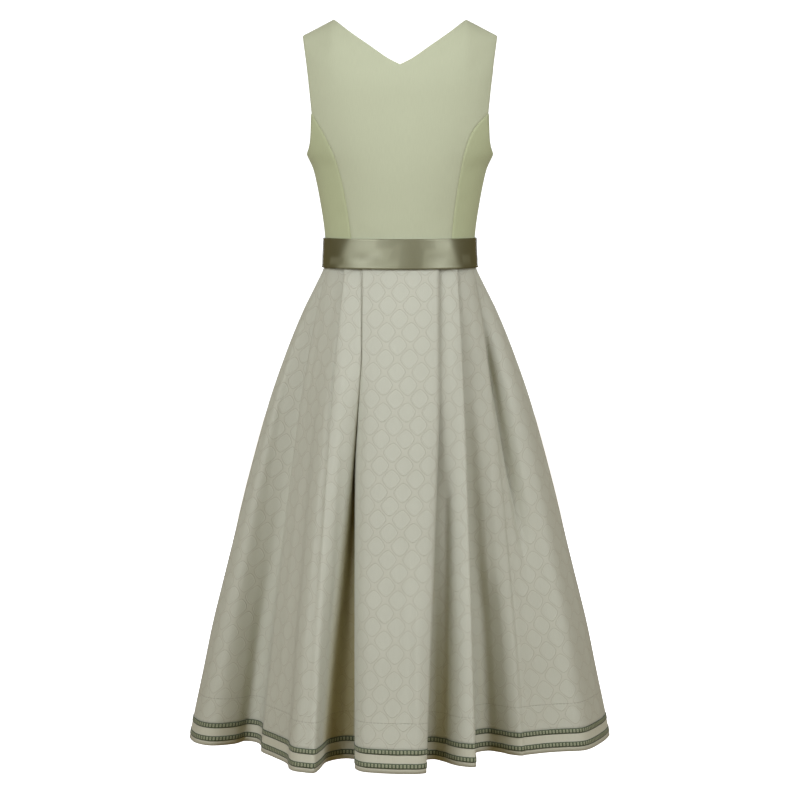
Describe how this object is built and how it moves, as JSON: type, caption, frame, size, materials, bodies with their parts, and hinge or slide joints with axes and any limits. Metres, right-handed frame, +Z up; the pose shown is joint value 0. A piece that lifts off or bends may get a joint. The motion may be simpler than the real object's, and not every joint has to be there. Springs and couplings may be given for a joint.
{
  "type": "dirndl dress",
  "caption": "sleeveless panelled bodice with a V neck, satin ribbon belt, pleated midi skirt and plain hem band with woven trims, in the hollow form it has when worn",
  "frame": {"origin": "midway between the two shoulder seams, level with their neck ends, where the wearer's shoulders hold the dress", "axes": "+Z up, +Y the way the wearer faces, +X the wearer's right; the back of the dress is towards -Y"},
  "size_m": [0.7535, 0.5612, 1.2704],
  "materials": {
    "bodice_cloth": "plain sage-green cotton, fine weave, matt",
    "buttons": "small olive buttons, low sheen",
    "belt_satin": "olive satin ribbon, glossy, with broad soft highlights",
    "skirt_cloth": "greige jacquard with a tone-on-tone ogee lattice, slight sheen",
    "hem_cloth": "plain light beige cotton",
    "trim": "narrow woven green trim with a small pale motif"
  },
  "bodies": {
    "root": {"bodice_back_centre": "bodice_cloth", "bodice_back_side_left": "bodice_cloth", "bodice_back_side_right": "bodice_cloth", "bodice_front_side_left": "bodice_cloth", "bodice_front_side_right": "bodice_cloth", "bodice_front_centre_left": "bodice_cloth", "bodice_front_centre_right": "bodice_cloth", "button_1": "buttons", "button_2": "buttons", "button_3": "buttons", "button_4": "buttons", "button_5": "buttons", "belt": "belt_satin", "skirt_back": "skirt_cloth", "skirt_front": "skirt_cloth", "hem_band": "hem_cloth", "hem_trim_upper": "trim", "hem_trim_lower": "trim"}
  },
  "joints": []
}
